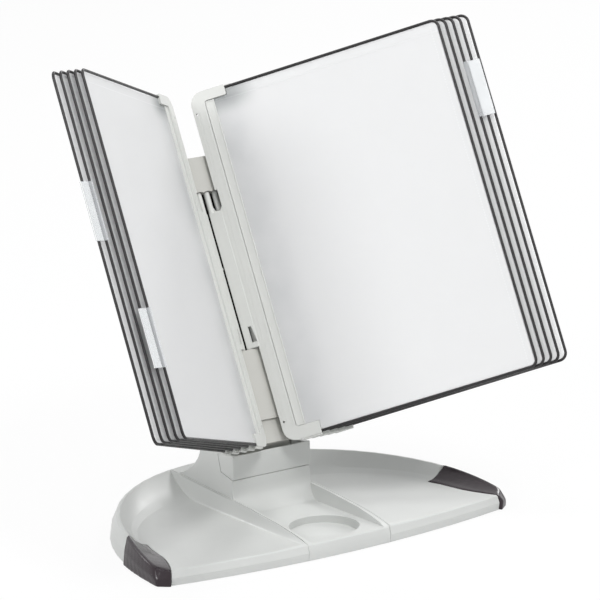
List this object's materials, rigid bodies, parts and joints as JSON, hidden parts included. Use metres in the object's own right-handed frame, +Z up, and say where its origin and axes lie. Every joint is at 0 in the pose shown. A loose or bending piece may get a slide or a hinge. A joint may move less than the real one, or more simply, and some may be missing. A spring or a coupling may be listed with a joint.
{
  "type": "desktop reference display stand",
  "caption": "Desk stand that holds reference sheets in clear pockets on turning frames, hinged on a tilting column over an open organizer tray.",
  "frame": {"origin": "on the desk, at the centre of the middle foot, which lies on the stand's plane of symmetry", "axes": "+Z up, the open front of the base faces -Y, +X to the right seen from the front"},
  "size_m": [0.4126, 0.2806, 0.406],
  "materials": {
    "light_grey_plastic": "moulded, fine satin grain",
    "dark_grey_plastic": "moulded, semi-gloss",
    "black_coated_wire": "smooth black coating on steel wire",
    "frosted_film": "clear film with a fine frosted grain",
    "clear_holder": "clear moulding",
    "white_paper": "plain uncoated card",
    "bare_steel": "turned",
    "black_rubber": "plain"
  },
  "bodies": {
    "base": {"base_centre": "light_grey_plastic", "tray_left": "light_grey_plastic", "tray_right": "light_grey_plastic", "end_cap_left": "dark_grey_plastic", "end_cap_right": "dark_grey_plastic", "foot_1": "black_rubber", "foot_2": "black_rubber", "foot_3": "black_rubber", "foot_4": "black_rubber", "foot_5": "black_rubber", "foot_6": "black_rubber", "foot_7": "black_rubber", "pivot_housing": "light_grey_plastic", "tilt_shaft": "bare_steel", "friction_washer_left": "bare_steel", "friction_washer_right": "bare_steel", "spring_washer": "bare_steel", "clamp_nut": "bare_steel"},
    "head": {"tilt_knuckle": "light_grey_plastic", "column_body": "light_grey_plastic", "column_cap": "light_grey_plastic", "column_lower_cover": "light_grey_plastic"},
    "panel_R1": {"page_clip_R1": "light_grey_plastic", "page_wire_R1": "black_coated_wire", "page_sleeve_R1": "frosted_film"},
    "panel_R2": {"page_clip_R2": "light_grey_plastic", "page_wire_R2": "black_coated_wire", "page_sleeve_R2": "frosted_film"},
    "panel_R3": {"page_clip_R3": "light_grey_plastic", "page_wire_R3": "black_coated_wire", "page_sleeve_R3": "frosted_film"},
    "panel_R4": {"page_clip_R4": "light_grey_plastic", "page_wire_R4": "black_coated_wire", "page_sleeve_R4": "frosted_film"},
    "panel_R5": {"page_clip_R5": "light_grey_plastic", "page_wire_R5": "black_coated_wire", "page_sleeve_R5": "frosted_film"},
    "panel_L1": {"page_clip_L1": "light_grey_plastic", "page_wire_L1": "black_coated_wire", "page_sleeve_L1": "frosted_film"},
    "panel_L2": {"page_clip_L2": "light_grey_plastic", "page_wire_L2": "black_coated_wire", "page_sleeve_L2": "frosted_film"},
    "panel_L3": {"page_clip_L3": "light_grey_plastic", "page_wire_L3": "black_coated_wire", "page_sleeve_L3": "frosted_film"},
    "panel_L4": {"page_clip_L4": "light_grey_plastic", "page_wire_L4": "black_coated_wire", "page_sleeve_L4": "frosted_film"},
    "panel_L5": {"page_clip_L5": "light_grey_plastic", "page_wire_L5": "black_coated_wire", "page_sleeve_L5": "frosted_film"},
    "index_tab_1": {"tab_holder_1": "clear_holder", "tab_label_1": "white_paper"},
    "index_tab_2": {"tab_holder_2": "clear_holder", "tab_label_2": "white_paper"},
    "index_tab_3": {"tab_holder_3": "clear_holder", "tab_label_3": "white_paper"}
  },
  "joints": [
    {"name": "head_tilt", "type": "hinge", "parent": "base", "child": "head", "pos_m": [0, 0.011, 0.046], "axis": [1, 0, 0], "range_deg": [-8, 12]},
    {"name": "right_panel_1_turn", "type": "hinge", "parent": "head", "child": "panel_R1", "pos_m": [0.004, -0.00231, 0.06165], "axis": [0, 0.4818, 0.8763], "range_deg": [-94.6, 0]},
    {"name": "right_panel_2_turn", "type": "hinge", "parent": "head", "child": "panel_R2", "pos_m": [0.012, -0.00231, 0.06165], "axis": [0, 0.4818, 0.8763], "range_deg": [-94.6, 0]},
    {"name": "right_panel_3_turn", "type": "hinge", "parent": "head", "child": "panel_R3", "pos_m": [0.02, -0.00231, 0.06165], "axis": [0, 0.4818, 0.8763], "range_deg": [-94.6, 0]},
    {"name": "right_panel_4_turn", "type": "hinge", "parent": "head", "child": "panel_R4", "pos_m": [0.028, -0.00231, 0.06165], "axis": [0, 0.4818, 0.8763], "range_deg": [-94.6, 0]},
    {"name": "right_panel_5_turn", "type": "hinge", "parent": "head", "child": "panel_R5", "pos_m": [0.036, -0.00231, 0.06165], "axis": [0, 0.4818, 0.8763], "range_deg": [-94.6, 0]},
    {"name": "left_panel_1_turn", "type": "hinge", "parent": "head", "child": "panel_L1", "pos_m": [-0.004, -0.00231, 0.06165], "axis": [0, 0.4818, 0.8763], "range_deg": [0, 94.6]},
    {"name": "left_panel_2_turn", "type": "hinge", "parent": "head", "child": "panel_L2", "pos_m": [-0.012, -0.00231, 0.06165], "axis": [0, 0.4818, 0.8763], "range_deg": [0, 94.6]},
    {"name": "left_panel_3_turn", "type": "hinge", "parent": "head", "child": "panel_L3", "pos_m": [-0.02, -0.00231, 0.06165], "axis": [0, 0.4818, 0.8763], "range_deg": [0, 94.6]},
    {"name": "left_panel_4_turn", "type": "hinge", "parent": "head", "child": "panel_L4", "pos_m": [-0.028, -0.00231, 0.06165], "axis": [0, 0.4818, 0.8763], "range_deg": [0, 94.6]},
    {"name": "left_panel_5_turn", "type": "hinge", "parent": "head", "child": "panel_L5", "pos_m": [-0.036, -0.00231, 0.06165], "axis": [0, 0.4818, 0.8763], "range_deg": [0, 94.6]},
    {"name": "index_tab_1_slide", "type": "slide", "parent": "panel_R3", "child": "index_tab_1", "axis": [0, 0.4818, 0.8763], "range_m": [-0.2, 0.028]},
    {"name": "index_tab_2_slide", "type": "slide", "parent": "panel_L4", "child": "index_tab_2", "axis": [0, 0.4818, 0.8763], "range_m": [-0.15, 0.08]},
    {"name": "index_tab_3_slide", "type": "slide", "parent": "panel_L1", "child": "index_tab_3", "axis": [0, 0.4818, 0.8763], "range_m": [-0.045, 0.185]}
  ],
  "couplings": [
    {"joint": "right_panel_2_turn", "follows": "right_panel_1_turn", "ratio": 1},
    {"joint": "right_panel_3_turn", "follows": "right_panel_1_turn", "ratio": 1},
    {"joint": "right_panel_4_turn", "follows": "right_panel_1_turn", "ratio": 1},
    {"joint": "right_panel_5_turn", "follows": "right_panel_1_turn", "ratio": 1},
    {"joint": "left_panel_2_turn", "follows": "left_panel_1_turn", "ratio": 1},
    {"joint": "left_panel_3_turn", "follows": "left_panel_1_turn", "ratio": 1},
    {"joint": "left_panel_4_turn", "follows": "left_panel_1_turn", "ratio": 1},
    {"joint": "left_panel_5_turn", "follows": "left_panel_1_turn", "ratio": 1}
  ]
}
